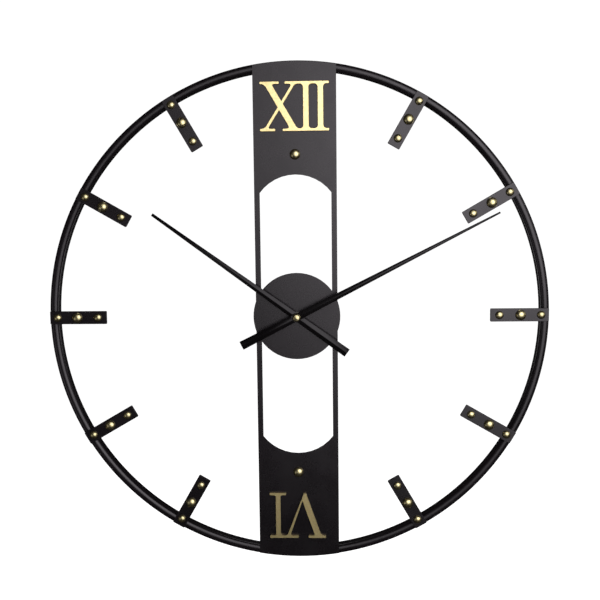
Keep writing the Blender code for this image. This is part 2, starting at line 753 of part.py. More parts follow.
def stator():
    """The motor's iron plate: a bar around the rotor with an arm at each end up to the coil's core."""
    low, shelf, high = 11.95 * MM, 19.6 * MM, 25.2 * MM
    left, arm_left, arm_right, right = -7.2 * MM, -3.4 * MM, 22.4 * MM, 26.0 * MM
    outline = [
        (left, low + 2 * MM),
        (left + 2 * MM, low),
        (right - 2 * MM, low),
        (right, low + 2 * MM),
        (right, high),
        (arm_right, high),
        (arm_right, shelf),
        (arm_left, shelf),
        (arm_left, high),
        (left, high),
    ]
    plate = prism(outline, 3.7 * MM, 4.7 * MM)
    return bored(plate, PLACES["rotor"], STATOR_HOLE, 3 * MM, 6 * MM, 20)


def motor_coil():
    """A wound bobbin with a flange at each end, on a flat core that lies on the stator's arms."""
    left, right = -3.0 * MM, 22.0 * MM
    flange, wound = 3.0 * MM, 2.6 * MM
    profile = [
        (0, right),
        (flange, right),
        (flange, right - 0.8 * MM),
        (wound, right - 0.8 * MM),
        (wound, left + 0.8 * MM),
        (flange, left + 0.8 * MM),
        (flange, left),
        (0, left),
    ]
    bobbin = along_x(profile, 14, 23.2 * MM, 6.4 * MM)
    core = rounded_box(-6.9 * MM, 21.8 * MM, 25.7 * MM, 24.6 * MM, 0.6 * MM, 1)
    return joined(bobbin, prism(core, 5.0 * MM, 5.9 * MM))


def circuit_board():
    """A narrow board with the potted chip and the crystal's can on it."""
    board = rounded_box(-26.1 * MM, -9.0 * MM, -18.2 * MM, 20.0 * MM, 0.6 * MM, 1)
    potting = [(0, 7.0 * MM), (1.5 * MM, 7.2 * MM), (2.4 * MM, 8.4 * MM), (0, 8.4 * MM)]
    chip = turned(potting, 12, (-22.1 * MM, 6 * MM))
    crystal = rounded_box(-23.2 * MM, -6.0 * MM, -21.2 * MM, 0.5 * MM, 0.5 * MM, 1)
    return joined(prism(board, 8.2 * MM, 9.0 * MM), chip, prism(crystal, 6.4 * MM, 8.4 * MM))


# Fixings behind and in front of the plate


def hex_nut():
    across_flats, height = 11 * MM, 2.2 * MM
    low = PLATE_FRONT + GAP
    corners = circle(AXIS, across_flats / 2 / math.cos(math.radians(30)), 6)
    block = prism(corners, low, low + height)
    return bored(block, AXIS, CENTRE_HOLE, low - MM, low + height + MM, 24)


def gasket():
    low = CASE_DEPTH + GAP
    washer = prism(circle(AXIS, 11 * MM, 28), low, low + GASKET_THICKNESS)
    return bored(washer, AXIS, CENTRE_HOLE, low - MM, low + GASKET_THICKNESS + MM, 24)


def wall_hanger():
    """A strap folded out from the plate to the wall, with a keyhole in the part on the wall."""
    foot_back = PLATE_BACK - GAP - HANGER_SHEET
    foot_front = PLATE_BACK - GAP
    leg, reach = HANGER_HALF_HEIGHT, HANGER_HALF_HEIGHT + HANGER_FOOT
    sheet = HANGER_SHEET
    half_outline = [(reach, foot_front), (reach, foot_back), (leg, foot_back), (leg, 0)]
    inside = [(leg - sheet, sheet), (leg - sheet, foot_front)]
    outline = half_outline + [(-z, d) for z, d in reversed(half_outline)]
    outline += [(-z, d) for z, d in reversed(inside)] + inside
    bm = bmesh.new()
    side = [bm.verts.new((-HANGER_WIDTH / 2, -d, HANGER_AT + z)) for z, d in outline]
    grown = bmesh.ops.extrude_face_region(bm, geom=[bm.faces.new(side)])
    shifted = [item for item in grown["geom"] if isinstance(item, bmesh.types.BMVert)]
    bmesh.ops.translate(bm, verts=shifted, vec=(HANGER_WIDTH, 0, 0))
    middle = HANGER_AT - KEYHOLE_RISE / 2
    through = (-2 * MM, 4 * MM)
    spread = math.degrees(math.asin(KEYHOLE_SLOT / KEYHOLE_RADIUS))
    keyhole = arc((0, middle), KEYHOLE_RADIUS, 90 + spread, 450 - spread, 18)
    keyhole += arc((0, middle + KEYHOLE_RISE), KEYHOLE_SLOT, 0, 180, 8)
    return cut(mesh_of(bm), prism(keyhole, *through))


def lower_bumper():
    """A rubber pad on the ring's back at six, as thick as the ring stands off the wall."""
    inner, outer = RING_RADIUS - RING_WIDTH + 1 * MM, RING_RADIUS - 1 * MM
    outline = arc((0, 0), outer, 266, 274, 8) + arc((0, 0), inner, 274, 266, 8)
    return prism(outline, 0, RING_BACK - GAP)


BLACK_PAINT = ((0.018, 0.017, 0.019), 0.42, 0.0)
BRASS = ((0.78, 0.57, 0.24), 0.22, 1.0)
GOLD_FINISH = ((0.86, 0.66, 0.32), 0.28, 1.0)
STEEL = ((0.35, 0.35, 0.36), 0.4, 1.0)
BLACK_PLASTIC = ((0.03, 0.03, 0.032), 0.55, 0.0)
PALE_PLASTIC = ((0.85, 0.84, 0.8), 0.45, 0.0)
RUBBER = ((0.02, 0.02, 0.02), 0.85, 0.0)
COPPER = ((0.72, 0.38, 0.2), 0.35, 1.0)
BOARD_GREEN = ((0.05, 0.22, 0.1), 0.5, 0.0)
BATTERY_JACKET = ((0.08, 0.09, 0.1), 0.35, 0.0)
MAGNET = ((0.12, 0.12, 0.13), 0.5, 1.0)


def build():
    clear_scene()
    still = [
        ("ring", ring(), BLACK_PAINT),
        ("face_plate", face_plate(), BLACK_PAINT),
        ("numeral_xii", numeral_xii(), GOLD_FINISH),
        ("numeral_vi", numeral_vi(), GOLD_FINISH),
        ("hex_nut", hex_nut(), STEEL),
        ("gasket", gasket(), RUBBER),
        ("movement_case", movement_case(), BLACK_PLASTIC),
        ("rear_cover", rear_cover(), BLACK_PLASTIC),
        ("contact_plus", contact(1), STEEL),
        ("contact_minus", contact(-1), STEEL),
        ("stator", stator(), STEEL),
        ("motor_coil", motor_coil(), COPPER),
        ("circuit_board", circuit_board(), BOARD_GREEN),
        ("wall_hanger", wall_hanger(), BLACK_PAINT),
        ("lower_bumper", lower_bumper(), RUBBER),
    ]
    for name, mesh, look in still:
        finish(name, mesh, look)

    dial = bpy.data.objects.new("dial", None)
    bpy.context.scene.collection.objects.link(dial)
    bar = hour_bar()
    outer_stud = moved(stud(SMALL_STUD, BAR_FRONT + GAP, BAR_THICKNESS), 0, STUD_OUTER_AT)
    middle_stud = moved(stud(LARGE_STUD, BAR_FRONT + GAP, BAR_THICKNESS), 0, STUD_MIDDLE_AT)
    for hour in BAR_HOURS:
        for name, mesh, look in (
            (f"hour_bar_{hour}", bar, BLACK_PAINT),
            (f"outer_stud_{hour}", outer_stud, BRASS),
            (f"middle_stud_{hour}", middle_stud, BRASS),
        ):
            obj = finish(name, mesh, look)
            obj.parent = dial
            obj.rotation_euler = (0, math.radians(30 * hour), 0)
    plate_stud = stud(LARGE_STUD, PLATE_FRONT + GAP, PLATE_THICKNESS)
    for name, side in (("plate_stud_upper", 1), ("plate_stud_lower", -1)):
        finish(name, plate_stud, BRASS).location = (0, 0, side * PLATE_STUD_AT)

    # Pieces that turn: each has its origin on its own axis
    turning = [
        ("hour_wheel", hour_wheel(), PALE_PLASTIC, AXIS),
        ("minute_arbor", minute_arbor(), STEEL, AXIS),
        ("cap_nut", cap_nut(), BRASS, AXIS),
        ("centre_wheel", centre_wheel(), PALE_PLASTIC, AXIS),
        ("motion_wheel", motion_wheel(), PALE_PLASTIC, PLACES["motion"]),
        ("setting_knob", setting_knob(), BLACK_PLASTIC, PLACES["knob"]),
        ("third_wheel", third_wheel(), PALE_PLASTIC, PLACES["third"]),
        ("fourth_wheel", fourth_wheel(), PALE_PLASTIC, PLACES["fourth"]),
        ("fifth_wheel", fifth_wheel(), PALE_PLASTIC, PLACES["fifth"]),
        ("rotor", rotor(), MAGNET, PLACES["rotor"]),
        ("battery", battery(), BATTERY_JACKET, (0, BATTERY_HEIGHT)),
    ]
    for name, mesh, look, (x, z) in turning:
        moved(mesh, -x, -z)
        finish(name, mesh, look).location = (x, 0, z)
    pointers = [("hour_hand", hour_hand(), HOUR_ANGLE), ("minute_hand", minute_hand(), MINUTE_ANGLE)]
    for name, mesh, degrees in pointers:
        finish(name, mesh, BLACK_PAINT).rotation_euler = (0, math.radians(degrees), 0)


build()
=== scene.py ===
"""Looks for the open-frame wall clock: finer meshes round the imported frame, finishes, light and camera."""

import json
import math

import bmesh
import bpy
from mathutils import Matrix, Vector


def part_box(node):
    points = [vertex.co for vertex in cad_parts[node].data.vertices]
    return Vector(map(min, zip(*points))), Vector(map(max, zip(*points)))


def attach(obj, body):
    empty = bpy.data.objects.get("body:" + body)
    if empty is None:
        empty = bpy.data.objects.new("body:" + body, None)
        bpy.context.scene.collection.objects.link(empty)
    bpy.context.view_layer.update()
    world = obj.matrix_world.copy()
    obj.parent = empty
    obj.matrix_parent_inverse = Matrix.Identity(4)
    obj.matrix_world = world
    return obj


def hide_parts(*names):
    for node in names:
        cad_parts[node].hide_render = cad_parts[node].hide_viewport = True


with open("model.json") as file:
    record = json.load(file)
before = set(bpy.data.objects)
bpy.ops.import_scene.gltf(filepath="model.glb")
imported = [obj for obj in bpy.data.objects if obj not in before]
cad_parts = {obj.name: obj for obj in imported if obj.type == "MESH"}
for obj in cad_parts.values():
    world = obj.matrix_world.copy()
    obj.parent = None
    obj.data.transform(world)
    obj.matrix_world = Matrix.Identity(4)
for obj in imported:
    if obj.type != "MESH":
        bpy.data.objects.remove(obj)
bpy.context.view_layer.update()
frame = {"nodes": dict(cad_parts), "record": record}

MM = 0.001
RECORD = frame["record"]
NODES = frame["nodes"]
BODY_OF = {node: body for body, nodes in RECORD["behaviour"]["bodies"].items() for node in nodes}
SLOT_OF = {part["node"]: part["material_slot"] for part in RECORD["subparts"]}
HOURS = [int(node.rsplit("_", 1)[1]) for node in NODES if node.startswith("hour_bar_")]

RING_CROWN = 3.4 * MM  # how far the ring's elliptical front and back stand proud of its flanks
BAR_CORNER = 1.0 * MM
HAND_RISE = 0.22  # a hand's ridge height per half width
HAND_SHEET = 0.8 * MM
HAND_SEAT = 3.2 * MM  # a hand is flat this far from the axis, under its nut
HAND_RAMP = 2.4 * MM  # and its fold rises to full height over this length
CORNER_STEPS = 5
SHARP_FROM = 32  # degrees between faces from which an edge is shaded sharp
EASED_FROM = 40  # and from which it is rounded off
EASED = {
    "face_plate": 0.35 * MM,
    "numeral_xii": 0.3 * MM,
    "numeral_vi": 0.3 * MM,
    "movement_case": 0.3 * MM,
    "setting_knob": 0.12 * MM,
    "wall_hanger": 0.4 * MM,
    "lower_bumper": 0.6 * MM,
    "gasket": 0.15 * MM,
}


# ---------------------------------------------------------------- node helpers


class Look:
    """A material under construction: each call adds a node and returns the socket it feeds on."""

    def __init__(self, name):
        self.material = bpy.data.materials.new(name)
        self.material.use_nodes = True
        self.tree = self.material.node_tree
        self.shader = self.tree.nodes["Principled BSDF"]
        self.place = self.add("ShaderNodeTexCoord").outputs["Object"]

    def add(self, kind, settings=None, **inputs):
        """A node with these settings; an input is given by its name, or as i0, i1 and so on by its place."""
        made = self.tree.nodes.new(kind)
        for key, value in (settings or {}).items():
            setattr(made, key, value)
        for key, value in inputs.items():
            self.feed(made.inputs[int(key[1:]) if key[0] == "i" and key[1:].isdigit() else key], value)
        return made

    def feed(self, socket, value):
        if isinstance(value, bpy.types.NodeSocket):
            self.tree.links.new(value, socket)
        elif socket.type == "RGBA":
            socket.default_value = (*value[:3], 1)
        else:
            socket.default_value = value

    def noise(self, scale, detail=3.0, stretch=(1, 1, 1)):
        """A noise of so many features per metre, from 0 to 1."""
        spread = self.add("ShaderNodeMapping", i3=stretch, Vector=self.place).outputs[0]
        made = self.add("ShaderNodeTexNoise", Vector=spread, Scale=scale, Detail=detail, Roughness=0.55)
        return made.outputs["Fac"]

    def math(self, operation, one, two=0.0, three=0.0):
        made = self.add("ShaderNodeMath", {"operation": operation}, i0=one, i1=two, i2=three)
        return made.outputs[0]

    def remap(self, value, low, high, to_low=0.0, to_high=1.0):
        made = self.add("ShaderNodeMapRange", i0=value, i1=low, i2=high, i3=to_low, i4=to_high)
        return made.outputs[0]

    def blend(self, factor, one, two):
        made = self.add("ShaderNodeMix", {"data_type": "RGBA"})
        self.feed(made.inputs[0], factor)
        self.feed(made.inputs[6], one)
        self.feed(made.inputs[7], two)
        return made.outputs[2]

    def edges(self, radius, strength):
        """1 on edges about as round as radius, 0 on flats."""
        soft = self.add("ShaderNodeBevel", {"samples": 4}, Radius=radius).outputs[0]
        true = self.add("ShaderNodeNewGeometry").outputs["Normal"]
        same = self.add("ShaderNodeVectorMath", {"operation": "DOT_PRODUCT"}, i0=soft, i1=true)
        return self.remap(same.outputs["Value"], 1.0, 1.0 - strength)

    def bump(self, height, distance, strength):
        made = self.add("ShaderNodeBump", Height=height, Distance=distance, Strength=strength)
        self.feed(self.shader.inputs["Normal"], made.outputs[0])

    def set(self, **inputs):
        for key, value in inputs.items():
            self.feed(self.shader.inputs[key.replace("_", " ")], value)
        return self.material


def paint(name, colour, rubbed_and_highlit_edge, roughness, grain=1100.0, shine=0.5):
    """Sprayed satin paint: a faint orange peel, slow drifts of tone and gloss, and edges lightened partly by
    paint rubbed thin and partly by a painted highlight.
    """
    look = Look(name)
    drift = look.noise(9.0, 4.0)
    peel = look.noise(grain, 2.0)
    fine = look.noise(grain * 3, 1.0)
    edge = look.edges(0.9 * MM, 0.25)
    tone = look.blend(look.remap(drift, 0.35, 0.68), colour, [c * 1.6 for c in colour])
    speck = look.remap(look.noise(2600.0, 1.0), 0.72, 0.8, 0.0, 0.35)
    tone = look.blend(speck, tone, [c * 4 for c in colour])
    # edges pulled towards the lighter edge colour: part rubbed wear, part painted highlight
    tone = look.blend(look.math("MULTIPLY", edge, 0.55), tone, rubbed_and_highlit_edge)
    gloss = look.remap(look.noise(38.0, 5.0), 0.3, 0.75, roughness - 0.03, roughness + 0.05)
    gloss = look.math("MULTIPLY_ADD", edge, -0.08, gloss)
    look.bump(look.math("MULTIPLY_ADD", fine, 0.35, peel), 0.03 * MM, 0.35)
    tint = (1.0, 0.94, 1.0)
    return look.set(Base_Color=tone, Roughness=gloss, Specular_IOR_Level=shine, Specular_Tint=tint)


def polished(name, colour, tarnish, roughness):
    """Polished soft metal: hairline scratches, and clouds of tarnish."""
    look = Look(name)
    cloud = look.noise(420.0, 4.0)
    aged = look.remap(cloud, 0.42, 0.75, 0.0, 0.5)
    hair = look.noise(5200.0, 1.0, stretch=(1, 1, 0.05))
    tone = look.blend(aged, colour, tarnish)
    gloss = look.math("MULTIPLY_ADD", aged, 0.14, roughness)
    gloss = look.math("MULTIPLY_ADD", hair, 0.05, gloss)
    look.bump(look.math("MULTIPLY_ADD", cloud, 0.8, hair), 0.006 * MM, 0.1)
    return look.set(Base_Color=tone, Roughness=gloss, Metallic=1.0)


def moulded(name, colour, roughness, grain=900.0, depth=0.03):
    """Moulded plastic or rubber with a spark-eroded grain, a little dust, and edges lightened partly by
    scuffing and partly by a painted highlight.
    """
    look = Look(name)
    grainy = look.noise(grain, 2.0)
    cloud = look.noise(55.0, 4.0)
    edge = look.edges(0.5 * MM, 0.3)
    tone = look.blend(look.remap(cloud, 0.35, 0.7), colour, [min(1, c * 1.25 + 0.004) for c in colour])
    # lighter along the edges: part scuffing, part painted highlight
    tone = look.blend(look.math("MULTIPLY", edge, 0.3), tone, [min(1, c * 1.8 + 0.01) for c in colour])
    gloss = look.remap(look.noise(160.0, 4.0), 0.3, 0.7, roughness - 0.05, roughness + 0.07)
    look.bump(grainy, depth * MM, 0.5)
    return look.set(Base_Color=tone, Roughness=gloss)


def bare_metal(name, colour, roughness, stretch):
    """Cut or rolled metal, with fine lines along the way it was worked."""
    look = Look(name)
    lines = look.noise(2400.0, 3.0, stretch=stretch)
    cloud = look.noise(130.0, 4.0)
    tone = look.blend(look.remap(cloud, 0.4, 0.7), colour, [c * 0.72 for c in colour])
    gloss = look.remap(lines, 0.25, 0.8, roughness - 0.07, roughness + 0.12)
    look.bump(lines, 0.01 * MM, 0.35)
    return look.set(Base_Color=tone, Roughness=gloss, Metallic=1.0)


LOOKS = {
    # each paint's second colour is its edge colour: part rubbed wear, part painted highlight
    "black_paint": paint("black_paint", (0.0027, 0.0018, 0.0025), (0.012, 0.011, 0.011), 0.27),
    "painted_aluminium": paint(
        "hand_paint", (0.0014, 0.0011, 0.0013), (0.008, 0.0075, 0.0075), 0.24, grain=1500.0, shine=0.26
    ),
    "brass": polished("brass", (0.76, 0.66, 0.37), (0.24, 0.19, 0.085), 0.27),
    "gold_finish": polished("gold_finish", (0.98, 0.8, 0.4), (0.75, 0.54, 0.25), 0.31),
    "steel": bare_metal("steel", (0.36, 0.35, 0.34), 0.34, (1, 0.05, 1)),
    "rubber": moulded("rubber", (0.012, 0.012, 0.012), 0.8, 1300.0, 0.06),
    "black_plastic": moulded("black_plastic", (0.013, 0.013, 0.014), 0.5),
    "pale_plastic": moulded("pale_plastic", (0.78, 0.76, 0.7), 0.4, 400.0, 0.01),
    "copper": bare_metal("copper_wire", (0.66, 0.27, 0.1), 0.3, (1, 0.02, 0.02)),
    "circuit_green": moulded("circuit_green", (0.02, 0.13, 0.05), 0.35, 500.0, 0.02),
    "battery_jacket": moulded("battery_jacket", (0.035, 0.04, 0.045), 0.28, 200.0, 0.004),
}

for node, thing in NODES.items():
    thing.data.materials.clear()
    thing.data.materials.append(LOOKS[SLOT_OF[node]])


# ---------------------------------------------------------------- reading the frame


def depths(node):
    """How far the back and the front of a node stand out from the wall."""
    low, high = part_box(node)
    return -high[1], -low[1]


def corners(node):
    return [vert.co for vert in NODES[node].data.vertices]


# ---------------------------------------------------------------- mesh helpers


def shaded(mesh):
    mesh.shade_smooth()
    mesh.set_sharp_from_angle(angle=math.radians(SHARP_FROM))
    return mesh


def mesh_of(bm):
    bmesh.ops.recalc_face_normals(bm, faces=bm.faces)
    mesh = bpy.data.meshes.new("shape")
    bm.to_mesh(mesh)
    bm.free()
    return shaded(mesh)


def arc(centre, radius, start, end, steps):
    turns = [math.radians(start + (end - start) * i / steps) for i in range(steps + 1)]
    return [(centre[0] + radius * math.cos(a), centre[1] + radius * math.sin(a)) for a in turns]


def rounded_box(left, bottom, right, top, corner):
    points = []
    for x, z, start in (
        (right - corner, bottom + corner, -90),
        (right - corner, top - corner, 0),
        (left + corner, top - corner, 90),
        (left + corner, bottom + corner, 180),
    ):
        points += arc((x, z), corner, start, start + 90, CORNER_STEPS)
    return points


def prism(outline, low, high):
    """A solid with this (x, z) outline between two depths."""
    bm = bmesh.new()
    face = bm.faces.new([bm.verts.new((x, -low, z)) for x, z in outline])
    grown = bmesh.ops.extrude_face_region(bm, geom=[face])
    shifted = [item for item in grown["geom"] if isinstance(item, bmesh.types.BMVert)]
    bmesh.ops.translate(bm, verts=shifted, vec=(0, low - high, 0))
    return mesh_of(bm)


def skinned(rings, closed=False):
    """A skin over rings of points, all with the same count; a ring of one point closes an end."""
    bm = bmesh.new()
    rows = [[bm.verts.new(point) for point in ring] for ring in rings]
    count = max(len(row) for row in rows)
    pairs = list(zip(rows, rows[1:])) + ([(rows[-1], rows[0])] if closed else [])
    for one, two in pairs:
        for i in range(count):
            j = (i + 1) % count
            around = [one[i % len(one)], one[j % len(one)], two[j % len(two)], two[i % len(two)]]
            bm.faces.new(list(dict.fromkeys(around)))
    if not closed:
        for row in (rows[0], rows[-1]):
            if len(row) > 1:
                bm.faces.new(row)
    return mesh_of(bm)


def turned(profile, steps):
    """(radius, depth) points turned about the Y axis; points at radius 0 close the ends."""
    rings = []
    for radius, depth in profile:
        count = steps if radius > 0 else 1
        turns = [2 * math.pi * i / steps for i in range(count)]
        rings.append([(radius * math.cos(a), -depth, radius * math.sin(a)) for a in turns])
    return skinned(rings, closed=profile[0][0] > 0)


def combined(mesh, other, operation):
    """This mesh after a Boolean with the other."""
    pair = [bpy.data.objects.new("base", mesh), bpy.data.objects.new("tool", other)]
    for obj in pair:
        bpy.context.scene.collection.objects.link(obj)
    step = pair[0].modifiers.new("step", "BOOLEAN")
    step.operation = operation
    step.solver = "EXACT"
    step.object = pair[1]
    bpy.context.view_layer.update()
    result = bpy.data.meshes.new_from_object(pair[0].evaluated_get(bpy.context.evaluated_depsgraph_get()))
    for obj in pair:
        bpy.data.objects.remove(obj, do_unlink=True)
    result.materials.clear()
    return shaded(result)


def gathered(meshes):
    """Several separate shapes in one mesh."""
    bm = bmesh.new()
    for mesh in meshes:
        bm.from_mesh(mesh)
    return mesh_of(bm)


def shifted(mesh, x=0.0, depth=0.0, z=0.0):
    made = mesh.copy()
    made.transform(Matrix.Translation((x, -depth, z)))
    return made


def at_angle(mesh, degrees):
    """A copy turned about the hands' axis, clockwise seen from the front."""
    made = mesh.copy()
    made.transform(Matrix.Rotation(math.radians(degrees), 4, "Y"))
    return made


def ease_edges(thing, width, segments=3, weld=False):
    """Rounds the sharp edges of a shape, and keeps its flats flat."""
    if weld:
        thing.modifiers.new("weld", "WELD").merge_threshold = 0.001 * MM
    bevel = thing.modifiers.new("ease", "BEVEL")
    bevel.width = width
    bevel.segments = segments
    bevel.limit_method = "ANGLE"
    bevel.angle_limit = math.radians(EASED_FROM)
    bevel.harden_normals = True
    bevel.use_clamp_overlap = True
    return thing


def add_piece(name, mesh, body, slot, *stands_for):
    piece = bpy.data.objects.new(name, mesh)
    bpy.context.scene.collection.objects.link(piece)
    if not mesh.materials:
        mesh.materials.append(LOOKS[slot])
    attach(piece, body)
    if stands_for:
        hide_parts(*stands_for)
    return piece


# ---------------------------------------------------------------- ring, bars and studs


def oval(inner, outer, back, front, steps):
    """The ring's section as (radius, depth) points: straight flanks between elliptical ends."""
    half, middle = (outer - inner) / 2, (outer + inner) / 2
    rise = [math.pi * i / steps for i in range(steps + 1)]
    face = [(middle + half * math.cos(a), front - RING_CROWN * (1 - math.sin(a))) for a in rise]
    return face + [(r, back + front - depth) for r, depth in reversed(face)]


def ring_tube():
    back, front = depths("ring")
    reach = [math.hypot(co.x, co.z) for co in corners("ring")]
    section = oval(min(reach), max(reach), back, front, 24)
    return add_piece("ring_tube", turned(section, 400), BODY_OF["ring"], "black_paint", "ring")


def dome(radius, seat, top, behind):
    """A round-headed stud as (radius, depth) points, with its end upset over a hole's back edge."""
    lip = 0.45 * MM
    points = [(radius * math.cos(a), seat + lip + (top - seat - lip) * math.sin(a)) for a in
              [math.radians(90 - 7.5 * i) for i in range(13)]]
    points[0] = (0, top)
    tail = radius * 0.4
    points += [(radius, seat + 0.12 * MM), (radius - 0.12 * MM, seat), (1.5 * MM, seat), (1.5 * MM, behind)]
    points += [(tail, behind), (tail, behind - 0.4 * MM)]
    points += [(tail * 0.7, behind - 0.7 * MM), (0, behind - 0.8 * MM)]
    return turned(points, 48)


def bead(length, radius, ripples):
    """A rounded weld bead along X, with the ripples of its puddles."""
    rings = [[(-length / 2, 0, 0)]]
    count = ripples * 6
    for i in range(1, count):
        s = 2 * i / count - 1
        swell = radius * math.sqrt(1 - s**2) ** 0.5 * (1 + 0.09 * math.cos(ripples * math.pi * (s + 1)))
        turns = [2 * math.pi * j / 14 for j in range(14)]
        rings.append([(s * length / 2, swell * math.cos(a), swell * math.sin(a)) for a in turns])
    return skinned(rings + [[(length / 2, 0, 0)]])


def hour_bars():
    """Every bar with its three studs and its welds, drawn at twelve and turned to its hour."""
    low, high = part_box("hour_bar_3")
    half, back = high[2], -high[1]
    edges = [co for co in corners("hour_bar_3") if abs(co.z) > 0.9 * half]  # clear of the stud
    front = max(-co.y for co in edges)
    strip = prism(rounded_box(-half, low[0], half, high[0], BAR_CORNER), back, front)
    small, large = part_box("outer_stud_3"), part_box("middle_stud_3")
    radii = [(box[1][2] - box[0][2]) / 2 for box in (small, large)]
    apex = min(corners("hour_bar_3"), key=lambda co: co.y)
    outer, middle = [(box[0][0] + box[1][0]) / 2 for box in (small, large)]
    heads = {
        "outer": shifted(dome(radii[0], front, -small[0][1], back), z=outer),
        "middle": shifted(dome(radii[1], front, -large[0][1], back), z=middle),
        "inner": shifted(dome(radii[0], front, -apex.y, back), z=apex.x),
    }
    ring_inner = min(math.hypot(co.x, co.z) for co in corners("ring"))
    inside_weld = bead(3.6 * MM, 0.75 * MM, 3)
    welds = gathered(
        [
            shifted(bead(half * 1.7, 0.85 * MM, 9), 0, back - 0.7 * MM, high[0] - 1.0 * MM),
            shifted(inside_weld, -half * 0.72, back - 0.6 * MM, ring_inner + 2.4 * MM),
            shifted(inside_weld, half * 0.72, back - 0.6 * MM, ring_inner + 2.4 * MM),
        ]
    )
    for hour in HOURS:
        angle = 30 * hour
        bar = at_angle(strip, angle)
        bar = add_piece(f"hour_bar_strip_{hour}", bar, "frame", "black_paint", f"hour_bar_{hour}")
        ease_edges(bar, 0.35 * MM)
        add_piece(f"hour_bar_welds_{hour}", at_angle(welds, angle), "frame", "black_paint")
        for place, head in heads.items():
            stands_for = () if place == "inner" else (f"{place}_stud_{hour}",)
            add_piece(f"{place}_dome_{hour}", at_angle(head, angle), "frame", "brass", *stands_for)


def plate_fixings():
    """The two large studs on the plate, and the welds that hold its ends to the ring."""
    back, front = depths("face_plate")
    for node in ("plate_stud_upper", "plate_stud_lower"):
        low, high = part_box(node)
        head = shifted(dome((high[2] - low[2]) / 2, front, -low[1], back), z=(low[2] + high[2]) / 2)
        add_piece(node.replace("stud", "dome"), head, "frame", "brass", node)
    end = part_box("face_plate")[1][2]
    ring_inner = min(math.hypot(co.x, co.z) for co in corners("ring"))
    beads = []
    for start in (0, 180):
        for offset in (-6.6, -2.2, 2.2, 6.6):
            for radius in (end - 1.0 * MM, ring_inner + 2.3 * MM):
                weld = shifted(bead(15 * MM, 0.8 * MM, 8), 0, back - 0.65 * MM, radius)
                beads.append(at_angle(weld, start + offset))
    add_piece("plate_welds", gathered(beads), "frame", "black_paint")


# ---------------------------------------------------------------- hands


def lie_of(node):
    """A hand's clock angle in degrees, and its corners as (across, depth, along) drawn at twelve."""
    spots = corners(node)
    reach = max(math.hypot(co.x, co.z) for co in spots)
    tip = sum((co for co in spots if math.hypot(co.x, co.z) > 0.97 * reach), Vector())
    angle = math.atan2(tip.x, tip.z)
    upright = Matrix.Rotation(-angle, 3, "Y")
    return math.degrees(angle), [(p.x, -p.y, p.z) for p in (upright @ co for co in spots)]


def hand_section(half, back, ridge, inset):
    """The folded strip across: eased front edges and fold, a plain crease behind."""
    half, sheet = half - inset, HAND_SHEET - inset
    low, lip = back + inset / 2, 0.22 * MM
    slope = ridge / half
    right = [(half, low), (half, low + sheet - lip), (half - lip * 0.3, low + sheet - lip * 0.2)]
    right += [(half - lip, low + sheet + lip * slope)]
    fold = 0.5 * MM
    for s in (1.0, 0.6, 0.3):
        right.append((fold * s, low + sheet + ridge - slope * fold * (0.5 + 0.5 * s**2)))
    left = [(-x, depth) for x, depth in reversed(right)]
    return right + [(0, low + sheet + ridge - slope * fold * 0.5)] + left + [(0, low + ridge)]


def folded_hand(node, piece_name, bore):
    """A long tapered hand that flattens round its hole, where the nut or the pipe clamps it."""
    angle, spots = lie_of(node)
    ends = [min(p[2] for p in spots), max(p[2] for p in spots)]
    halves = [max(p[0] for p in spots if abs(p[2] - end) < MM) for end in ends]
    back = min(p[1] for p in spots)
    edge = 0.2 * MM
    ramp = [HAND_SEAT + HAND_RAMP * i / 4 for i in range(5)]
    stops = [ends[0], ends[0] + edge] + [-z for z in reversed(ramp)] + [0]
    stops += ramp + [ends[1] - edge, ends[1]]
    rings = []
    for z in stops:
        share = (z - ends[0]) / (ends[1] - ends[0])
        half = halves[0] + (halves[1] - halves[0]) * share
        rise = min(1, max(0, (abs(z) - HAND_SEAT) / HAND_RAMP))
        ridge = HAND_RISE * half * (3 * rise**2 - 2 * rise**3)
        inset = edge if z in ends else 0
        rings.append([(x, -depth, z) for x, depth in hand_section(half, back, ridge, inset)])
    drill = turned([(0, back - 3 * MM), (bore, back - 3 * MM), (bore, back + 6 * MM), (0, back + 6 * MM)], 48)
    made = combined(skinned(rings), drill, "DIFFERENCE")
    return add_piece(piece_name, at_angle(made, angle), BODY_OF[node], "painted_aluminium", node)


def hands():
    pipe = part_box("hour_wheel")[0][1]
    hour_back = depths("hour_hand")[0]
    pipe_radius = max(math.hypot(co.x, co.z) for co in corners("hour_wheel") if co.y < pipe + MM)
    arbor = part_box("minute_arbor")[0][1]
    arbor_radius = max(math.hypot(co.x, co.z) for co in corners("minute_arbor") if co.y < arbor + MM)
    folded_hand("hour_hand", "hour_hand_blade", pipe_radius + 0.05 * MM)
    folded_hand("minute_hand", "minute_hand_blade", arbor_radius + 0.05 * MM)
    bore, flange = pipe_radius + 0.02 * MM, pipe_radius + 1.3 * MM
    collet = [(bore, hour_back), (flange, hour_back), (flange, hour_back - 0.4 * MM)]
    collet += [(bore + 0.6 * MM, hour_back - 0.6 * MM), (bore + 0.6 * MM, hour_back - 1.0 * MM)]
    collet += [(bore, hour_back - 1.0 * MM)]
    add_piece("hour_hand_collet", turned(collet, 48), "hands_hour", "brass")


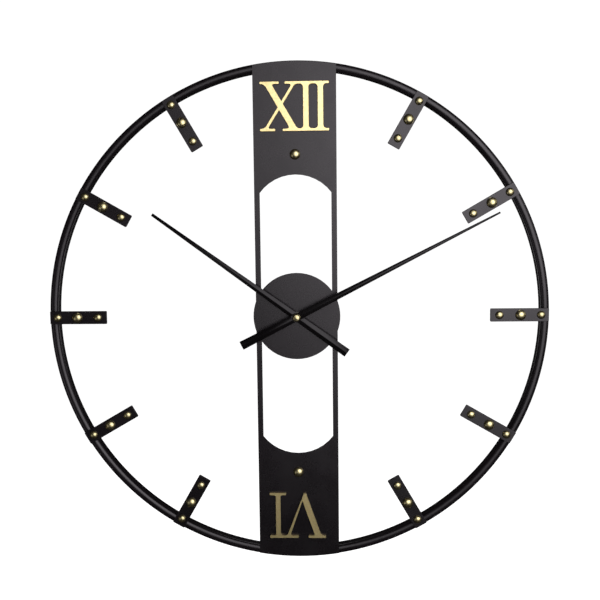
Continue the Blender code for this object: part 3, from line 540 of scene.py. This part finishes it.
def cap():
    """The nut that holds the minute hand: a flange, a neck, a round shoulder and an almost flat top."""
    low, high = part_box("cap_nut")
    back, top, radius = -high[1], -low[1], (high[0] - low[0]) / 2
    inner = min(math.hypot(co.x, co.z) for co in corners("cap_nut") if math.hypot(co.x, co.z) > 0.1 * MM)
    neck, crown, shoulder = radius * 0.9, 0.4 * MM, 1.8 * MM
    flat = neck - shoulder
    profile = [(0, top)] + [(flat * s, top - crown * s**2) for s in (0.2, 0.4, 0.6, 0.8)]
    profile += [(flat + shoulder * math.sin(a), top - crown - shoulder * (1 - math.cos(a))) for a in
                [math.radians(10 * i) for i in range(10)]]
    profile += [(neck, back + 1.15 * MM), (radius - 0.2 * MM, back + 0.95 * MM), (radius, back + 0.75 * MM)]
    profile += [(radius, back + 0.15 * MM), (radius - 0.15 * MM, back), (inner, back)]
    profile += [(inner, back + 2.6 * MM), (0, back + 2.6 * MM)]
    add_piece("cap_nut_dome", turned(profile, 64), "hands_minute", "brass", "cap_nut")


def hex_clamp():
    """The hexagon nut with turned chamfers, and the threaded bushing that it runs on."""
    low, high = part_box("hex_nut")
    back, front = -high[1], -low[1]
    corner = max(math.hypot(co.x, co.z) for co in corners("hex_nut"))
    bore = min(math.hypot(co.x, co.z) for co in corners("hex_nut"))
    cone, fall = corner * 0.89, 0.55 * MM
    block = prism(arc((0, 0), corner, 0, 300, 5), back, front)
    limits = [(0, back - MM), (cone, back - MM), (cone, back), (corner + 0.1 * MM, back + fall)]
    limits += [(corner + 0.1 * MM, front - fall), (cone, front), (cone, front + MM), (0, front + MM)]
    nut = combined(block, turned(limits, 72), "INTERSECT")
    hole = turned([(0, back - MM), (bore, back - MM), (bore, front + MM), (0, front + MM)], 64)
    add_piece("hex_nut_chamfered", combined(nut, hole, "DIFFERENCE"), "frame", "steel", "hex_nut")
    plate_front = depths("face_plate")[1]
    top = depths("movement_case")[1]
    core = max(math.hypot(co.x, co.z) for co in corners("movement_case") if -co.y > top - MM)
    turns = thread(core + 0.02 * MM, bore - 0.05 * MM, plate_front, top)
    add_piece("bushing_thread", turns, "frame", "brass")


def thread(inner, outer, low, high):
    """A sleeve whose surface rises and falls once in every pitch, along a helix."""
    pitch, steps, fine = 0.75 * MM, 48, 8
    root = inner + 0.04 * MM
    rows = round((high - low) / pitch * fine)
    rings = [[(inner, low, j) for j in range(steps)]]
    for i in range(rows + 1):
        depth = low + (high - low) * i / rows
        ends = min(1, 2 * (depth - low) / pitch, 2 * (high - depth) / pitch)
        crest = [1 - abs(2 * ((depth / pitch + j / steps) % 1) - 1) for j in range(steps)]
        rings.append([(root + (outer - root) * c * ends, depth, j) for j, c in enumerate(crest)])
    rings.append([(inner, high, j) for j in range(steps)])
    turn = 2 * math.pi / steps
    places = [[(r * math.cos(turn * j), -d, r * math.sin(turn * j)) for r, d, j in ring] for ring in rings]
    return skinned(places, closed=True)


# ---------------------------------------------------------------- movement, seen from behind


def arrow(centre, radius, start, end):
    """An engraved arc with an arrowhead at its end, as two outlines."""
    half = 0.3 * MM
    band = arc(centre, radius + half, start, end, 20) + arc(centre, radius - half, end, start, 20)
    turn, way = math.radians(end), 1 if end > start else -1
    tip = math.radians(end + way * 13)
    head = [(centre[0] + r * math.cos(a), centre[1] + r * math.sin(a)) for r, a in
            ((radius - 1.0 * MM, turn), (radius + 1.0 * MM, turn), (radius, tip))]
    return [band, head]


def engraved_cover():
    """The rear cover with a sunk border line, arrows round the knob and marks for the cell's poles."""
    low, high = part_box("rear_cover")
    knob_low, knob_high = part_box("setting_knob")
    knob = ((knob_low[0] + knob_high[0]) / 2, (knob_low[2] + knob_high[2]) / 2)
    ring = (knob_high[0] - knob_low[0]) / 2 + 2.6 * MM
    cover = NODES["rear_cover"].data.copy()
    bm = bmesh.new()
    bm.from_mesh(cover)
    bmesh.ops.remove_doubles(bm, verts=bm.verts, dist=0.001 * MM)
    cover = mesh_of(bm)
    marks = arrow(knob, ring, 35, 95) + arrow(knob, ring, 325, 265)
    line, long = 0.32 * MM, 1.3 * MM
    row = low[2] + 2.6 * MM
    for side, lines in ((1, ((long, line), (line, long))), (-1, ((long, line),))):
        x = side * (high[0] - 5 * MM)
        marks += [[(x - w, row - h), (x + w, row - h), (x + w, row + h), (x - w, row + h)] for w, h in lines]
    for mark in marks:
        cover = combined(cover, prism(mark, -MM, 0.25 * MM), "DIFFERENCE")
    edge, foot = 2.0 * MM, 5.2 * MM
    left, bottom, right, top = low[0] + edge, low[2] + foot, high[0] - edge, high[2] - edge
    outside = rounded_box(left, bottom, right, top, 1.5 * MM)
    inside = rounded_box(left + line, bottom + line, right - line, top - line, 1.3 * MM)
    groove = combined(prism(outside, -MM, 0.2 * MM), prism(inside, -2 * MM, MM), "DIFFERENCE")
    cover = combined(cover, groove, "DIFFERENCE")
    cover.shade_flat()
    add_piece("rear_cover_engraved", cover, "frame", "black_plastic", "rear_cover")


def case_details():
    """Ribs moulded on the case's sides, and the hooks that hold its cover."""
    front = depths("gasket")[0] - 0.3 * MM
    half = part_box("movement_case")[1][0]
    proud, wide, pitch = 0.45 * MM, 0.5 * MM, 4.2 * MM
    ribs = []
    for i in range(-5, 6):
        z = i * pitch
        for x in (-half, half):
            outline = rounded_box(x - proud, z - wide, x + proud, z + wide, 0.35 * MM)
            rib = prism(outline, 3.2 * MM, front - 1.6 * MM)
            ribs += [rib, at_angle(rib, 90)]
    ease_edges(add_piece("case_side_ribs", gathered(ribs), "frame", "black_plastic"), 0.12 * MM, 2)
    thick, long = 0.55 * MM, 2.2 * MM
    hooks = []
    for x in (0.9 * MM - half, half - 0.9 * MM):
        for z in (2 * MM, 17 * MM):
            outline = rounded_box(x - thick, z - long, x + thick, z + long, 0.3 * MM)
            hooks.append(prism(outline, 0.25 * MM, 2.2 * MM))
    ease_edges(add_piece("cover_hooks", gathered(hooks), "frame", "black_plastic"), 0.12 * MM, 2)


def along_x(profile, steps, height, depth):
    made = turned(profile, steps)
    made.transform(Matrix.Rotation(math.radians(90), 4, "Z"))
    made.transform(Matrix.Translation((0, -depth, height)))
    return made


def cell():
    """The battery: a sleeve shrunk over a can, with a crimped groove at its plus end."""
    low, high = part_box("battery")
    half, radius = (high[0] - low[0]) / 2, (high[2] - low[2]) / 2
    height, depth = (low[2] + high[2]) / 2, -(low[1] + high[1]) / 2
    shoulder = max(co.x for co in corners("battery") if math.hypot(co.y + depth, co.z - height) > radius / 2)
    sleeve = [(radius - 0.5 * MM, shoulder - 0.15 * MM), (radius - 0.2 * MM, shoulder)]
    sleeve += [(radius, shoulder - 0.4 * MM), (radius, shoulder - 1.6 * MM)]
    sleeve += [(radius - 0.25 * MM, shoulder - 2.0 * MM), (radius - 0.25 * MM, shoulder - 2.4 * MM)]
    sleeve += [(radius, shoulder - 2.8 * MM), (radius, 0.5 * MM - half)]
    sleeve += [(radius - 0.2 * MM, 0.15 * MM - half), (radius - 0.6 * MM, 0.1 * MM - half)]
    sleeve += [(radius - 0.6 * MM, 0.6 * MM - half), (radius - 0.5 * MM, shoulder - 0.6 * MM)]
    add_piece("battery_sleeve", along_x(sleeve, 64, height, depth), "cell", "battery_jacket", "battery")
    nub = max(math.hypot(co.y + depth, co.z - height) for co in corners("battery") if co.x > half - 0.05 * MM)
    can = [(0, half), (nub - 0.4 * MM, half), (nub, half - 0.35 * MM), (nub, shoulder + 0.05 * MM)]
    can += [(nub + 0.5 * MM, shoulder - 0.3 * MM), (radius - 0.7 * MM, shoulder - 0.35 * MM)]
    can += [(radius - 0.7 * MM, 0.3 * MM - half), (radius * 0.6, 0.05 * MM - half)]
    can += [(radius * 0.5, 0.25 * MM - half), (0, -half)]
    add_piece("battery_can", along_x(can, 64, height, depth), "cell", "steel")


def make_pieces():
    ring_tube()
    hour_bars()
    plate_fixings()
    hands()
    cap()
    hex_clamp()
    engraved_cover()
    case_details()
    cell()
    for node, width in EASED.items():
        ease_edges(NODES[node], width, weld=True)


make_pieces()


# ---------------------------------------------------------------- stage, light, camera


def aim(thing, place, target):
    thing.location = place
    thing.rotation_euler = (Vector(target) - Vector(place)).to_track_quat("-Z", "Y").to_euler()
    bpy.context.scene.collection.objects.link(thing)
    return thing


def soft_light(name, place, target, across, watts):
    data = bpy.data.lights.new(name, "AREA")
    data.shape = "DISK"
    data.size = across
    data.energy = watts
    lamp = aim(bpy.data.objects.new(name, data), place, target)
    lamp.visible_camera = False
    return lamp


def pale_floor(level, reach):
    bm = bmesh.new()
    bmesh.ops.create_circle(bm, cap_ends=True, segments=96, radius=reach)
    mesh = bpy.data.meshes.new("floor")
    bm.to_mesh(mesh)
    bm.free()
    floor = bpy.data.objects.new("floor", mesh)
    floor.location = (0, 0, level)
    floor.visible_glossy = False
    bpy.context.scene.collection.objects.link(floor)
    look = Look("floor")
    tone = look.blend(look.noise(3.0), (0.9, 0.9, 0.9), (0.94, 0.94, 0.94))
    glow = {"Emission_Color": (1, 1, 1), "Emission_Strength": 0.45}
    mesh.materials.append(look.set(Base_Color=tone, Roughness=0.9, **glow))


def studio():
    """White behind everything the camera sees, and a dim room for the metal to reflect."""
    world = bpy.data.worlds.new("studio")
    world.use_nodes = True
    tree = world.node_tree
    tree.nodes.clear()

    def background(colour, strength):
        made = tree.nodes.new("ShaderNodeBackground")
        made.inputs["Color"].default_value = (*colour, 1)
        made.inputs["Strength"].default_value = strength
        return made

    path = tree.nodes.new("ShaderNodeLightPath")
    white = background((1, 1, 1), 1.05)
    room = background((1.0, 0.97, 0.93), 0.012)
    open_air = background((1, 1, 1), 0.7)
    first = tree.nodes.new("ShaderNodeMixShader")
    second = tree.nodes.new("ShaderNodeMixShader")
    out = tree.nodes.new("ShaderNodeOutputWorld")
    tree.links.new(path.outputs["Is Glossy Ray"], first.inputs[0])
    tree.links.new(open_air.outputs[0], first.inputs[1])
    tree.links.new(room.outputs[0], first.inputs[2])
    tree.links.new(path.outputs["Is Camera Ray"], second.inputs[0])
    tree.links.new(first.outputs[0], second.inputs[1])
    tree.links.new(white.outputs[0], second.inputs[2])
    tree.links.new(second.outputs[0], out.inputs[0])
    bpy.context.scene.world = world


def camera():
    """Level with the numeral's foot, a metre in front, turned a little left and down."""
    place = (0.0418, -1.0077, 0.1242)
    pan, tilt, roll = math.radians(-2.19), math.radians(-6.04), math.radians(-0.643)
    ahead = Vector((math.sin(pan) * math.cos(tilt), math.cos(pan) * math.cos(tilt), math.sin(tilt)))
    right = Vector((math.cos(pan), -math.sin(pan), 0))
    up = right.cross(ahead)
    side = right * math.cos(roll) + up * math.sin(roll)
    top = up * math.cos(roll) - right * math.sin(roll)
    data = bpy.data.cameras.new("camera")
    data.lens = 49.95
    data.sensor_width = 36
    made = bpy.data.objects.new("camera", data)
    turn = Matrix((side, top, -ahead)).transposed().to_4x4()
    made.matrix_world = Matrix.Translation(place) @ turn
    bpy.context.scene.collection.objects.link(made)
    bpy.context.scene.camera = made


studio()
pale_floor(level=-1.1, reach=9.0)
# Each light: its place, what it points at, how wide it is and its watts
soft_light("key_core", (0.96, -2.5, 0.55), (0.05, 0, 0), 1.9, 13.6)
soft_light("key_halo", (0.96, -2.52, 0.55), (0.05, 0, 0), 3.3, 41)
soft_light("right_side", (2.7, -0.5, 0.9), (0, 0, 0), 1.6, 3)
soft_light("left_low", (-2.3, -2.2, -0.9), (0, 0, 0), 1.4, 3)
soft_light("back_right", (2.3, 2.2, -0.75), (0, 0, 0), 1.8, 13)
soft_light("back_left", (-2.3, 2.2, -0.75), (0, 0, 0), 1.8, 13)
soft_light("back_top", (0, 1.8, 2.4), (0, 0, 0), 1.6, 10)
camera()
bpy.context.scene.view_settings.view_transform = "Standard"
